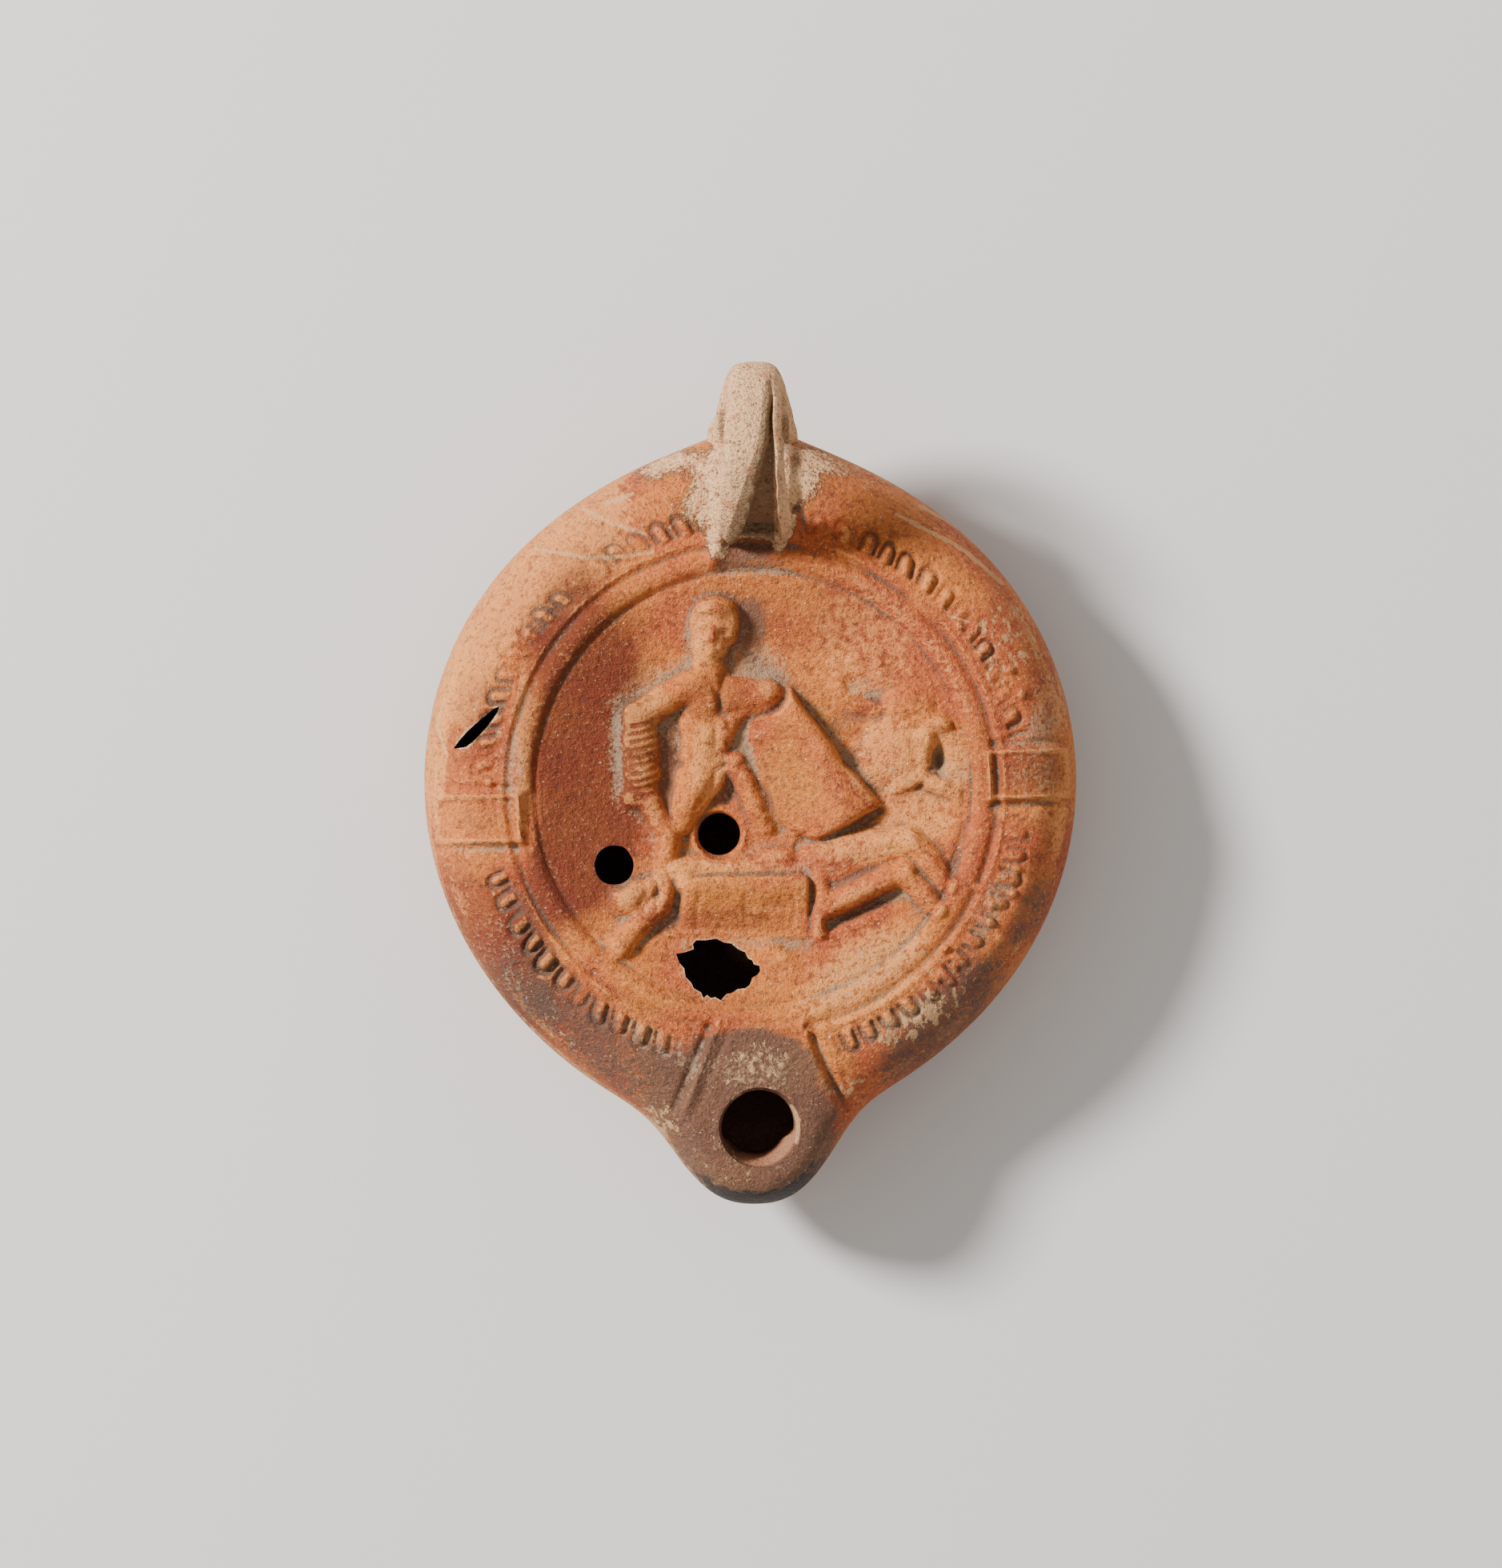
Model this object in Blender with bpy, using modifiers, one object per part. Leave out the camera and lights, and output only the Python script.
"""A mould-made clay oil lamp: a round hollow body with a short rounded nozzle and a pierced ring handle.

The two mould halves were pressed, joined at the seam and fired, so the lamp is one solid with one hollow.
Metres, +Z up. The origin is on the flat base, under the middle of the picture disc, and the nozzle points
along -Y.
"""

import math

import bmesh
import bpy

MM = 0.001

# Plan of the body, seen from above
BODY_RADIUS = 47.3 * MM
BODY_SHIFT_X = -0.4 * MM
BODY_SHIFT_Y = 1.0 * MM
NOZZLE_ANGLE = 270.0
HANDLE_ANGLE = 90.0
HANDLE_SWELL = 2.3 * MM
HANDLE_SWELL_SPREAD = 15.0
SNOUT_SQUARENESS = 2.6
NECK_SHARE_LEFT = 0.27
NECK_SHARE_RIGHT = 0.20
NECK_SPREAD_LEFT = 24.0
NECK_SPREAD_RIGHT = 21.0

# Section of the body
BASE_RADIUS = 21.0 * MM
FOOT_HEIGHT = 1.0 * MM
BASE_GROOVE_INSET = 2.6 * MM
BASE_GROOVE_WIDTH = 1.4 * MM
BASE_GROOVE_DEPTH = 0.6 * MM
SEAM_HEIGHT = 14.5 * MM
SHOULDER_HEIGHT = 25.0 * MM
SHOULDER_ROUNDNESS = 2.2
BELLY_ROUNDNESS = 1.7
WALL = 3.0 * MM
DISC_WALL = 2.4 * MM

# The sunk picture disc and the mouldings round it, outwards
DISC_RADIUS = 32.0 * MM
DISC_EDGE_DROP = 0.9 * MM
DISC_SAG = 3.0 * MM
BAND_WIDTH = 3.6 * MM
BAND_RISE = 0.7 * MM
GROOVE_DEPTH = 0.5 * MM
RIDGE_WIDTH = 1.9 * MM
RIDGE_RISE = 0.3 * MM

# The tongue pattern stamped on the shoulder, and the two plain panels that part it
TONGUE_PITCH = 5.0
TONGUE_SHARE = 0.4
TONGUE_RISE = 0.25 * MM
TONGUE_HOLLOW = 0.6 * MM
TONGUE_ARCS = ((10.0, 75.0), (105.0, 178.0), (195.0, 254.0), (287.0, 355.0))
PANEL_ANGLES = (2.9, 186.9)
PANEL_HALF_WIDTH = 3.9 * MM
PANEL_RISE = 0.5 * MM
PANEL_LIP = 0.5 * MM
RAISED_EDGE = 1.0 * MM

# Nozzle, wick hole and the flat plate round it
WICK_DISTANCE = 49.1 * MM
WICK_OFFSET = 0.9 * MM
WICK_HOLE_RADIUS = 5.6 * MM
NOZZLE_RIM = 5.7 * MM
PLATE_RISE = 0.8 * MM
PLATE_TOP_HALF_WIDTH = 6.3 * MM
PLATE_LIP = 0.5 * MM

# Holes through the disc, in hundredths of its radius from its centre, and the crack through the shoulder
OIL_HOLE_RADIUS = 3.15 * MM
OIL_HOLE_PLACE = (-16, -20.6)
AIR_HOLE_RADIUS = 2.9 * MM
AIR_HOLE_PLACE = (-62.5, -34.7)
BREAK_EDGE = (
    (-35, -75), (-27, -73), (-26, -69), (-17, -68), (-10, -70), (-4, -74), (0, -78), (3, -80),
    (2, -84), (-4, -90), (-10, -93), (-15, -96), (-19, -95), (-22, -95), (-27, -90), (-30, -85),
)
CRACK_DEGREES = 167.6
CRACK_SHARE = 0.34
CRACK_LENGTH = 9.0 * MM
CRACK_WIDTH = 1.4 * MM
CRACK_ANGLE = 42.0

# Ring handle
HANDLE_THICKNESS = 5.4 * MM
HANDLE_WIDTH = 8.5 * MM
HANDLE_ROOT_WIDTH = 10.4 * MM
HANDLE_RING_PLACE = (48.6 * MM, 32.0 * MM)
HANDLE_RING_REACH = (9.4 * MM, 9.9 * MM)
HANDLE_ANGLES = (175.0, 130.0, 90.0, 48.0, 5.0, -38.0)
HANDLE_GROOVE_DEPTH = 0.9 * MM
HANDLE_ROOT_DEPTH = 3.0 * MM

# How finely the clay is modelled
TONGUE_ROWS = (0.0, 0.3, 0.8, 1.0)
SHOULDER_ROWS = (0.74, 0.94)
BELLY_ROWS = (1.0, 0.72, 0.45, 0.2, 0.0)
STEPS_PER_TONGUE = 2
CAVITY_STEPS = 44
HOLE_STEPS = 20
HANDLE_STATIONS = 3
BALL_SIDES = 8
BALL_RINGS = ((0.5, 0.87), (0.87, 0.5), (1.0, -1.0))

# The figures: each lump of clay is stretched over domes given as (x, y, radius, rise), all in hundredths
# of the disc's radius and measured from the disc's centre.
RELIEF_ROOT = 1.2 * MM
STANDING_FIGHTER = {
    "head": [(-19, 76, 11, 10.5), (-20, 63, 8, 9)],
    "neck": [(-20, 54, 5.5, 7), (-20, 44, 6, 7)],
    "chest": [(-26, 46, 6, 8.5), (5, 44, 6, 7.5), (-25, 18, 6.5, 7.5), (-17, 17, 6.5, 7)],
    "hips": [(-27, 18, 6.5, 7.5), (-17, 17, 6.5, 7), (-28, 1, 8, 8), (-17, 3, 6.5, 7)],
    "upper_arm": [(-28, 49, 5, 8), (-53, 35, 5.5, 7.5)],
    "forearm": [(-52, 31, 6.5, 7.5), (-50, -1, 7, 7), (-54, -3, 4, 5)],
    "hand": [(-50, -7, 4.5, 6.5), (-38, -21, 4, 5.5)],
    "dagger": [(-38, -22, 4, 5.5), (-42, -36, 3, 4)],
    "near_thigh": [(-28, -1, 7, 7.5), (-32, -11, 4.5, 5)],
    "far_leg": [(-8, 10, 3.5, 6), (3, -15, 3, 4.5)],
    "foot": [(3, -32, 5, 5.5), (13, -32, 5, 6)],
    "shield": [
        (16, 44, 2, 6),
        (-1, 27, 3, 6),
        (7, -12, 3, 4.5),
        (25, -21, 2.5, 5),
        (55, -7, 2, 5),
        (33, 18, 5, 9),
        (29, -4, 6, 8),
    ],
}
FALLEN_FIGHTER = {
    "helmet": [(-54, -48, 8, 6.5), (-57, -55, 5.5, 5.5)],
    "helmet_crest": [(-40, -43, 4, 8), (-40, -51, 4, 8)],
    "arm": [(-41, -49, 5.5, 7.5), (-61, -71, 5, 5.5)],
    "torso": [(-32, -39, 4.5, 6), (-4, -39, 3.5, 5.5), (22, -41, 3.5, 5.5)],
    "back_shield": [(-28, -45, 6, 9), (22, -44, 5, 8.5), (23, -61, 3, 5.5), (-28, -61, 3.5, 5.5)],
    "ledge": [(-34, -66, 2, 2.5), (21, -67, 2, 2.5)],
    "far_thigh": [(27, -30, 5.5, 5.5), (69, -24, 6, 6)],
    "far_shin": [(73, -25, 5, 5.5), (86, -44, 4.5, 4)],
    "near_hip": [(31, -41, 4, 6.5), (30, -63, 3.5, 5)],
    "near_thigh": [(34, -50, 5.5, 7.5), (67, -39, 6, 6.5)],
    "near_shin": [(69, -39, 5.5, 6), (80, -53, 4.5, 4.5)],
    "ground": [(37, -65, 2, 2.5), (68, -53, 2, 2.5)],
}
DROPPED_HELMET = {
    "dome": [(61, 25, 9, 5), (74, 25, 8.5, 5.5), (60, 16, 8.5, 4.5)],
    "top": [(57, 38, 6, 4), (75, 39, 7, 4.5)],
    "brim": [(58, 5, 4.5, 3.5), (75, 4, 4, 4)],
    "cheek_piece": [(84, 3, 3.5, 3.5), (90, -1, 2, 2)],
    "crest": [(39, 42, 4, 2.2), (42, 51, 3.5, 2.2)],
    "crest_tip": [(43, 52, 3.5, 2.2), (52, 57, 3.5, 2)],
    "peak": [(82, 25, 3.5, 4), (88, 27, 2, 2.5)],
}

CLAY_COLOUR = (0.52, 0.21, 0.09, 1.0)
CLAY_ROUGHNESS = 0.75

# Worked out from the sizes above
BAND_RADIUS = DISC_RADIUS + BAND_WIDTH / 2
GROOVE_RADIUS = DISC_RADIUS + BAND_WIDTH
RIDGE_RADIUS = GROOVE_RADIUS + RIDGE_WIDTH / 2
TONGUE_START = GROOVE_RADIUS + RIDGE_WIDTH
SHOULDER_WIDTH = BODY_RADIUS - TONGUE_START
TONGUE_LENGTH = TONGUE_SHARE * SHOULDER_WIDTH
BODY_STEPS = round(360.0 / TONGUE_PITCH) * STEPS_PER_TONGUE
BODY_RADIUS_AT_NOZZLE = BODY_RADIUS - BODY_SHIFT_Y
BODY_RADIUS_AT_HANDLE = BODY_RADIUS + BODY_SHIFT_Y + HANDLE_SWELL
NOZZLE_REACH = WICK_DISTANCE + WICK_HOLE_RADIUS + NOZZLE_RIM
TALL_CUT = 4 * SHOULDER_HEIGHT


def clear_scene():
    for old in list(bpy.data.objects):
        bpy.data.objects.remove(old, do_unlink=True)


def new_collection(name):
    collection = bpy.data.collections.new(name)
    bpy.context.scene.collection.children.link(collection)
    return collection


def smooth_step(share):
    share = min(1.0, max(0.0, share))
    return share * share * (3 - 2 * share)


def angle_between(angle, middle):
    """Degrees from middle to angle, from -180 to 180."""
    return (angle - middle + 180.0) % 360.0 - 180.0


def outline_radius(angle, inset):
    """How far the plan reaches from the disc's centre at an angle in degrees, drawn in by inset."""
    turn = math.radians(angle)
    body = BODY_RADIUS + BODY_SHIFT_X * math.cos(turn) + BODY_SHIFT_Y * math.sin(turn)
    from_handle = angle_between(angle, HANDLE_ANGLE)
    swell = HANDLE_SWELL * math.exp(-0.5 * (from_handle / HANDLE_SWELL_SPREAD) ** 2)
    from_nozzle = angle_between(angle, NOZZLE_ANGLE)
    share, spread = (
        (NECK_SHARE_LEFT, NECK_SPREAD_LEFT) if from_nozzle < 0 else (NECK_SHARE_RIGHT, NECK_SPREAD_RIGHT)
    )
    half_angle = math.degrees(math.asin((WICK_HOLE_RADIUS + NOZZLE_RIM - inset) / WICK_DISTANCE))
    snout = math.exp(-((abs(from_nozzle) / half_angle) ** SNOUT_SQUARENESS))
    neck = math.exp(-0.5 * (from_nozzle / spread) ** 2)
    reach = NOZZLE_REACH - BODY_RADIUS_AT_NOZZLE
    return body + swell + reach * ((1 - share) * snout + share * neck) - inset


def on_disc(point):
    """A place given in hundredths of the disc's radius."""
    return (point[0] * DISC_RADIUS / 100, point[1] * DISC_RADIUS / 100)


def disc_height(radius):
    """Height of the picture disc's hollow face."""
    edge = SHOULDER_HEIGHT - DISC_EDGE_DROP
    return edge - DISC_SAG * (1 - min(1.0, radius / DISC_RADIUS) ** 2)


def shoulder_height(share, top, seam):
    """Height of the shoulder from its inner edge, share 0, to the seam, share 1."""
    return seam + (top - seam) * math.sqrt(1 - min(1.0, share) ** SHOULDER_ROUNDNESS)


def belly(share, foot_radius, foot_top, seam_radius, seam):
    """A point of the underside from the foot, share 0, to the seam, share 1."""
    turn = share * math.pi / 2
    radius = foot_radius + (seam_radius - foot_radius) * math.sin(turn) ** (2 / BELLY_ROUNDNESS)
    height = seam - (seam - foot_top) * math.cos(turn) ** (2 / BELLY_ROUNDNESS)
    return radius, height


def outer_profile():
    """Half section of the outside: from the middle of the disc over the shoulder to the middle of the base."""
    top = SHOULDER_HEIGHT
    points = [(radius, disc_height(radius)) for radius in (0.0, 0.45 * DISC_RADIUS, 0.8 * DISC_RADIUS)]
    points += [
        (DISC_RADIUS, disc_height(DISC_RADIUS) - GROOVE_DEPTH),
        (BAND_RADIUS - BAND_WIDTH / 4, top + BAND_RISE),
        (BAND_RADIUS + BAND_WIDTH / 4, top + BAND_RISE),
        (GROOVE_RADIUS, top - GROOVE_DEPTH),
        (RIDGE_RADIUS, top + RIDGE_RISE),
    ]
    for share in TONGUE_ROWS:
        points.append((TONGUE_START + share * TONGUE_LENGTH, top))
    for share in SHOULDER_ROWS:
        points.append((TONGUE_START + share * SHOULDER_WIDTH, shoulder_height(share, top, SEAM_HEIGHT)))
    for share in BELLY_ROWS:
        points.append(belly(share, BASE_RADIUS, FOOT_HEIGHT, BODY_RADIUS, SEAM_HEIGHT))
    groove = BASE_RADIUS - BASE_GROOVE_INSET
    points += [
        (BASE_RADIUS - FOOT_HEIGHT / 2, 0.0),
        (groove, 0.0),
        (groove - BASE_GROOVE_WIDTH / 2, BASE_GROOVE_DEPTH),
        (groove - BASE_GROOVE_WIDTH, 0.0),
        (0.0, 0.0),
    ]
    return points


def cavity_profile():
    """Half section of the oil chamber, one wall inside the outer profile."""
    rim = BODY_RADIUS - WALL
    ceiling = SHOULDER_HEIGHT - WALL
    disc_rows = (0.0, 0.6 * DISC_RADIUS, DISC_RADIUS)
    points = [(radius, disc_height(radius) - DISC_WALL) for radius in disc_rows]
    for share in (0.0, 0.5, 0.85):
        radius = TONGUE_START + share * (rim - TONGUE_START)
        points.append((radius, shoulder_height(share, ceiling, SEAM_HEIGHT)))
    for share in (1.0, 0.6, 0.25, 0.0):
        points.append(belly(share, BASE_RADIUS - WALL, WALL + FOOT_HEIGHT, rim, SEAM_HEIGHT))
    points.append((0.0, WALL + FOOT_HEIGHT))
    return points


def turned_mesh(name, profile, steps):
    """A profile at +X turned once round Z, as a closed mesh object that is in no collection yet."""
    line = bpy.data.meshes.new(name + "_profile")
    line.from_pydata([(x, 0.0, z) for x, z in profile], [(i, i + 1) for i in range(len(profile) - 1)], [])
    guide = bpy.data.objects.new(name + "_profile", line)
    bpy.context.scene.collection.objects.link(guide)
    screw = guide.modifiers.new("Turned", "SCREW")
    screw.steps = steps
    screw.render_steps = steps
    screw.use_merge_vertices = True
    screw.merge_threshold = 0.01 * MM
    mesh = mesh_of(guide, name)
    bpy.data.objects.remove(guide, do_unlink=True)
    return bpy.data.objects.new(name, mesh)


def mesh_of(source, name):
    """The evaluated mesh of an object, with loose caps welded."""
    bpy.context.view_layer.update()
    evaluated = source.evaluated_get(bpy.context.evaluated_depsgraph_get())
    mesh = bpy.data.meshes.new_from_object(evaluated)
    mesh.name = name
    edit = bmesh.new()
    edit.from_mesh(mesh)
    bmesh.ops.remove_doubles(edit, verts=edit.verts, dist=0.01 * MM)
    edit.to_mesh(mesh)
    edit.free()
    return mesh


def pull_belly(point, foot_radius, inset):
    """Moves a turned point of the underside outwards so that the seam follows the lamp's plan."""
    radius = math.hypot(point.x, point.y)
    rim = BODY_RADIUS - inset
    if radius <= foot_radius:
        return
    angle = math.degrees(math.atan2(point.y, point.x))
    share = (radius - foot_radius) / (rim - foot_radius)
    grown = radius + share * (outline_radius(angle, inset) - rim)
    point.x *= grown / radius
    point.y *= grown / radius


def pull_shoulder(point, fixed_radius):
    """Moves a turned point of the shoulder outwards, keeping its distance from the edge of the plan."""
    radius = math.hypot(point.x, point.y)
    if radius <= fixed_radius:
        return
    grown = outline_radius(math.degrees(math.atan2(point.y, point.x)), BODY_RADIUS - radius)
    point.x *= grown / radius
    point.y *= grown / radius


def panel_share(x, y):
    """1 on the two plain panels across the shoulder, falling to 0 off them."""
    share = 0.0
    for angle in PANEL_ANGLES:
        turn = math.radians(angle)
        along = x * math.cos(turn) + y * math.sin(turn)
        across = abs(y * math.cos(turn) - x * math.sin(turn))
        if along > BAND_RADIUS:
            share = max(share, smooth_step((PANEL_HALF_WIDTH - across) / PANEL_LIP))
    return share


def plate_share(x, y):
    """1 on the plate that runs from the disc's band to the wick hole, falling to 0 over its lip."""
    down = -y
    if down < BAND_RADIUS:
        return 0.0
    spread = (down - DISC_RADIUS) / (WICK_DISTANCE - DISC_RADIUS)
    half_width = PLATE_TOP_HALF_WIDTH + spread * (WICK_HOLE_RADIUS + NOZZLE_RIM - PLATE_TOP_HALF_WIDTH)
    return smooth_step((half_width - abs(x)) / PLATE_LIP)


def tongue_offset(angle, radius):
    """The stamped tongues: each stands in its own hollow, so every other step is raised."""
    share = (radius - TONGUE_START) / TONGUE_LENGTH
    if not 0.01 < share < 0.99 or not any(start <= angle <= end for start, end in TONGUE_ARCS):
        return 0.0
    step = round(angle / TONGUE_PITCH * STEPS_PER_TONGUE)
    return TONGUE_RISE if step % STEPS_PER_TONGUE == 0 else -TONGUE_HOLLOW


def carve_shoulder(point):
    """Sets the height of a point of the mouldings and shoulder: plain, tongue, panel or nozzle plate."""
    radius = math.hypot(point.x, point.y)
    if radius < BAND_RADIUS:
        return
    angle = math.degrees(math.atan2(point.y, point.x)) % 360.0
    edge = outline_radius(angle, 0.0) - radius
    plain = SHOULDER_HEIGHT
    if TONGUE_START - TONGUE_RISE < radius < TONGUE_START + TONGUE_LENGTH + TONGUE_RISE:
        plain = shoulder_height(max(0.0, 1 - edge / SHOULDER_WIDTH), SHOULDER_HEIGHT, SEAM_HEIGHT)
        point.z = plain + tongue_offset(angle, radius)
    elif radius > TONGUE_START:
        plain = point.z
    raised = smooth_step(edge / RAISED_EDGE - 1)
    plate = plate_share(point.x, point.y) * raised
    panel = panel_share(point.x, point.y) * raised
    point.z += panel * (plain + PANEL_RISE - point.z)
    point.z += plate * (plain + PLATE_RISE - point.z)


def thin_out(mesh):
    """Takes out every other step of the underside and of the disc, where no tongues need it."""
    edit = bmesh.new()
    edit.from_mesh(mesh)
    step = 2 * math.pi / BODY_STEPS
    spare = []
    for edge in edit.edges:
        turns = [round(math.atan2(vertex.co.y, vertex.co.x) / step) for vertex in edge.verts]
        on_disc = all(math.hypot(vertex.co.x, vertex.co.y) < 1.01 * DISC_RADIUS for vertex in edge.verts)
        below = all(vertex.co.z < 1.01 * SEAM_HEIGHT for vertex in edge.verts)
        at_middle = any(math.hypot(vertex.co.x, vertex.co.y) < 0.01 * DISC_RADIUS for vertex in edge.verts)
        if (on_disc or below) and (at_middle or turns[0] == turns[1]) and max(turns) % 2:
            spare.append(edge)
    bmesh.ops.dissolve_edges(edit, edges=spare, use_verts=True)
    edit.to_mesh(mesh)
    edit.free()


def lamp_body():
    """The outside of the lamp, closed, without holes."""
    body = turned_mesh("oil_lamp", outer_profile(), BODY_STEPS)
    thin_out(body.data)
    for vertex in body.data.vertices:
        if vertex.co.z > 1.01 * SEAM_HEIGHT:
            pull_shoulder(vertex.co, TONGUE_START + TONGUE_LENGTH + TONGUE_RISE)
            carve_shoulder(vertex.co)
        else:
            pull_belly(vertex.co, BASE_RADIUS, 0.0)
    return body


def oil_chamber():
    """The hollow of the body and nozzle, as a cutter."""
    chamber = turned_mesh("oil_chamber", cavity_profile(), CAVITY_STEPS)
    for vertex in chamber.data.vertices:
        if vertex.co.z > 1.01 * SEAM_HEIGHT:
            pull_shoulder(vertex.co, 1.01 * TONGUE_START)
        else:
            pull_belly(vertex.co, BASE_RADIUS - WALL, WALL)
    return chamber


def ball_points():
    """Points on a domed lump of radius and height 1 whose foot reaches one root's depth below the disc."""
    points = [(0.0, 0.0, 1.0)]
    for width, height in BALL_RINGS:
        for i in range(BALL_SIDES):
            turn = 2 * math.pi * (i + height) / BALL_SIDES
            points.append((width * math.cos(turn), width * math.sin(turn), height))
    return points


def lump(name, balls):
    """One rounded mass of a figure: the skin stretched over flattened balls that stand on the disc."""
    edit = bmesh.new()
    for x, y, plan, rise in balls:
        x, y, plan, rise = (value * DISC_RADIUS / 100 for value in (x, y, plan, rise))
        for across, along, up in ball_points():
            place_x = x + plan * across
            place_y = y + plan * along
            lift = up * (rise if up > 0 else RELIEF_ROOT)
            edit.verts.new((place_x, place_y, disc_height(math.hypot(place_x, place_y)) + lift))
    bmesh.ops.convex_hull(edit, input=edit.verts)
    inside = [vertex for vertex in edit.verts if not vertex.link_faces]
    bmesh.ops.delete(edit, geom=inside, context="VERTS")
    bmesh.ops.recalc_face_normals(edit, faces=edit.faces)
    mesh = bpy.data.meshes.new(name)
    edit.to_mesh(mesh)
    edit.free()
    return bpy.data.objects.new(name, mesh)


def handle_path():
    """Centre line of the handle in the YZ plane: root on the band, round the ring, root in the back wall."""
    band = (BAND_RADIUS + HANDLE_ROOT_DEPTH, SHOULDER_HEIGHT - HANDLE_ROOT_DEPTH)
    path = [(band, HANDLE_ROOT_WIDTH)]
    for angle in HANDLE_ANGLES:
        turn = math.radians(angle)
        y = HANDLE_RING_PLACE[0] + HANDLE_RING_REACH[0] * math.cos(turn)
        z = HANDLE_RING_PLACE[1] + HANDLE_RING_REACH[1] * math.sin(turn)
        path.append(((y, z), HANDLE_WIDTH))
    back_wall = (BODY_RADIUS_AT_HANDLE - HANDLE_ROOT_DEPTH, SEAM_HEIGHT + HANDLE_ROOT_DEPTH)
    path.append((back_wall, HANDLE_ROOT_WIDTH))
    return path


def handle_section():
    """The band's outline in shares of its half width and half thickness, with two grooves outside."""
    groove = 1 - 2 * HANDLE_GROOVE_DEPTH / HANDLE_THICKNESS
    left_ridge = [(-0.92, 0.55), (-0.7, 0.9), (-0.42, groove)]
    middle = [(-0.18, 1.0), (0.2, 1.0)]
    right_ridge = [(0.48, groove), (0.74, 0.9), (0.94, 0.5)]
    inside = [(0.9, -0.4), (0.5, -0.9), (-0.5, -0.9), (-0.9, -0.4)]
    return left_ridge + middle + right_ridge + inside


def handle():
    """The grooved ring handle: a band with a rounded section swept along a curve."""
    shape = bpy.data.curves.new("handle_section", "CURVE")
    shape.dimensions = "2D"
    outline = shape.splines.new("POLY")
    outline.points.add(len(handle_section()) - 1)
    for point, (across, out) in zip(outline.points, handle_section()):
        point.co = (out * HANDLE_THICKNESS / 2, across * HANDLE_WIDTH / 2, 0.0, 1.0)
    outline.use_cyclic_u = True
    section = bpy.data.objects.new("handle_section", shape)
    bpy.context.scene.collection.objects.link(section)

    line = bpy.data.curves.new("handle", "CURVE")
    line.dimensions = "3D"
    line.twist_mode = "MINIMUM"
    line.bevel_mode = "OBJECT"
    line.bevel_object = section
    line.use_fill_caps = True
    line.resolution_u = HANDLE_STATIONS
    spline = line.splines.new("BEZIER")
    path = handle_path()
    spline.bezier_points.add(len(path) - 1)
    for point, ((y, z), width) in zip(spline.bezier_points, path):
        point.co = (0.0, y, z)
        point.radius = width / HANDLE_WIDTH
        point.handle_left_type = "AUTO"
        point.handle_right_type = "AUTO"
    swept = bpy.data.objects.new("handle_line", line)
    bpy.context.scene.collection.objects.link(swept)
    mesh = mesh_of(swept, "handle")
    bpy.data.objects.remove(swept, do_unlink=True)
    bpy.data.objects.remove(section, do_unlink=True)
    edit = bmesh.new()
    edit.from_mesh(mesh)
    bmesh.ops.recalc_face_normals(edit, faces=edit.faces)
    edit.to_mesh(mesh)
    edit.free()
    return bpy.data.objects.new("handle", mesh)


def prism(name, outline, low, high):
    """A closed upright prism over a plan outline, from the height low to the height high."""
    edit = bmesh.new()
    floor = edit.faces.new([edit.verts.new((x, y, low)) for x, y in outline])
    raised = bmesh.ops.extrude_face_region(edit, geom=[floor])
    for item in raised["geom"]:
        if isinstance(item, bmesh.types.BMVert):
            item.co.z = high
    bmesh.ops.recalc_face_normals(edit, faces=edit.faces)
    mesh = bpy.data.meshes.new(name)
    edit.to_mesh(mesh)
    edit.free()
    return bpy.data.objects.new(name, mesh)


def round_hole(name, place, radius):
    steps = [2 * math.pi * i / HOLE_STEPS for i in range(HOLE_STEPS)]
    outline = [(place[0] + radius * math.cos(turn), place[1] + radius * math.sin(turn)) for turn in steps]
    return prism(name, outline, SEAM_HEIGHT, TALL_CUT)


def broken_hole():
    """The hole knocked through the disc, with its jagged edge."""
    return prism("broken_hole", [on_disc(point) for point in BREAK_EDGE], SEAM_HEIGHT, TALL_CUT)


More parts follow.
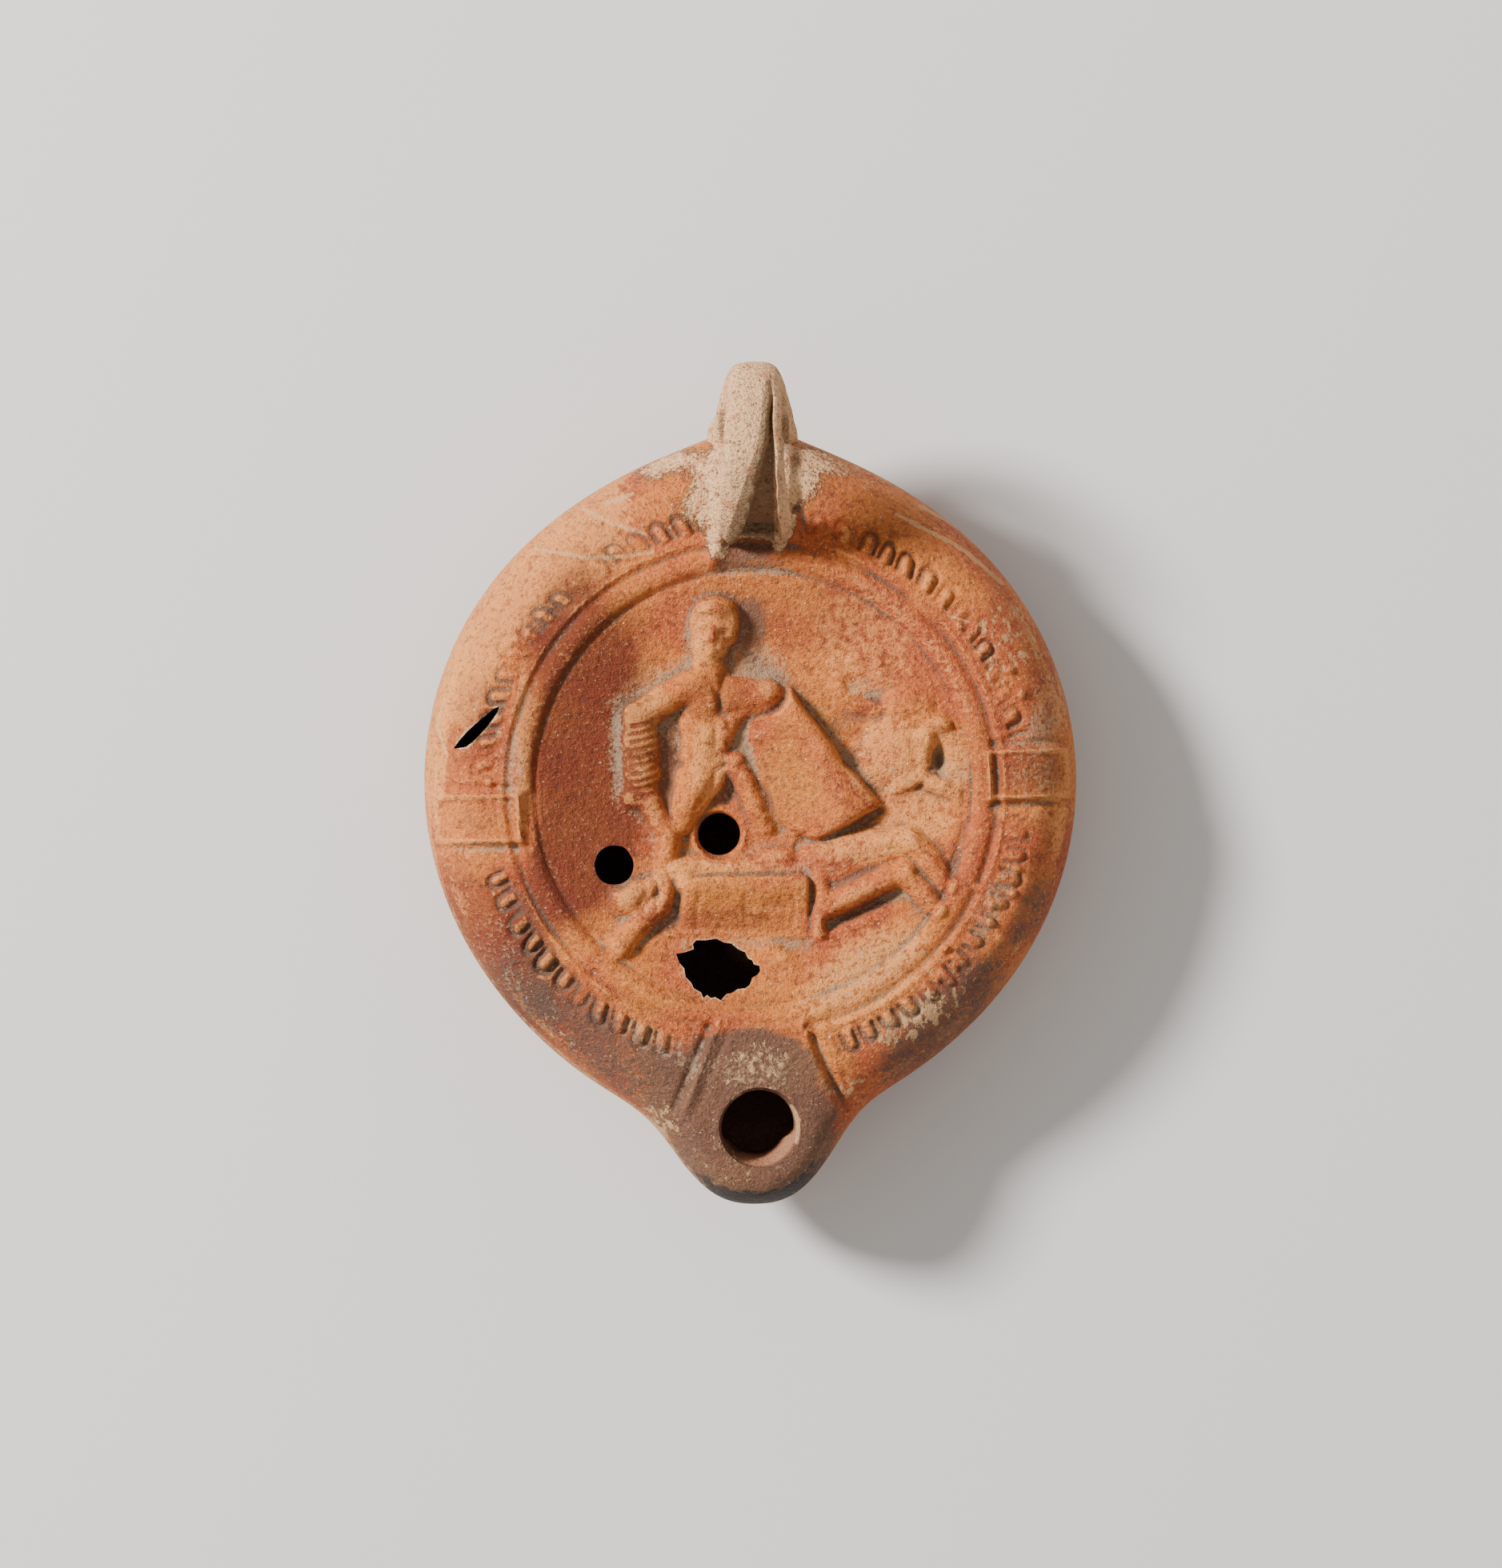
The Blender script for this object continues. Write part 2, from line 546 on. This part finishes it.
def crack():
    """The slit through the shoulder: a thin lens that opens near its middle."""
    place = math.radians(CRACK_DEGREES)
    reach = TONGUE_START + CRACK_SHARE * SHOULDER_WIDTH
    turn = math.radians(CRACK_ANGLE)
    outline = []
    lower_lip = ((-1, 0), (-0.5, -0.8), (0.1, -1), (0.6, -0.6))
    upper_lip = ((1, 0), (0.5, 0.7), (-0.1, 0.8), (-0.7, 0.7))
    for along, across in lower_lip + upper_lip:
        a = along * CRACK_LENGTH / 2
        b = across * CRACK_WIDTH / 2
        x = reach * math.cos(place) + a * math.cos(turn) - b * math.sin(turn)
        y = reach * math.sin(place) + a * math.sin(turn) + b * math.cos(turn)
        outline.append((x, y))
    return prism("crack", outline, SEAM_HEIGHT, TALL_CUT)


def fired_clay():
    clay = bpy.data.materials.new("fired_clay")
    clay.use_nodes = True
    shader = clay.node_tree.nodes["Principled BSDF"]
    shader.inputs["Base Color"].default_value = CLAY_COLOUR
    shader.inputs["Roughness"].default_value = CLAY_ROUGHNESS
    shader.inputs["Metallic"].default_value = 0.0
    return clay


def put_away(collection, pieces):
    """Keeps the pieces that are only joined on or cut away out of the model."""
    for piece in pieces:
        collection.objects.link(piece)
        piece.hide_render = True
        piece.display_type = "WIRE"


def boolean(target, name, operation, collection):
    step = target.modifiers.new(name, "BOOLEAN")
    step.operation = operation
    step.solver = "EXACT"
    step.operand_type = "COLLECTION"
    step.collection = collection


def build_lamp():
    clear_scene()
    lamp_parts = new_collection("oil_lamp")
    added_clay = new_collection("added_clay")
    cutters = new_collection("cutters")

    figures = []
    for title, lumps in (
        ("standing", STANDING_FIGHTER),
        ("fallen", FALLEN_FIGHTER),
        ("helmet", DROPPED_HELMET),
    ):
        figures += [lump(title + "_" + name, balls) for name, balls in lumps.items()]
    put_away(added_clay, figures + [handle()])
    wick_place = (WICK_OFFSET, -WICK_DISTANCE)
    holes = [
        round_hole("wick_hole", wick_place, WICK_HOLE_RADIUS),
        round_hole("oil_hole", on_disc(OIL_HOLE_PLACE), OIL_HOLE_RADIUS),
        round_hole("air_hole", on_disc(AIR_HOLE_PLACE), AIR_HOLE_RADIUS),
        broken_hole(),
        crack(),
    ]
    put_away(cutters, [oil_chamber()] + holes)

    lamp = lamp_body()
    lamp_parts.objects.link(lamp)
    lamp.data.materials.append(fired_clay())
    boolean(lamp, "Add relief and handle", "UNION", added_clay)
    boolean(lamp, "Hollow out", "DIFFERENCE", cutters)
    lamp.data.shade_smooth()
    lamp.data.set_sharp_from_angle(angle=math.radians(40))


build_lamp()
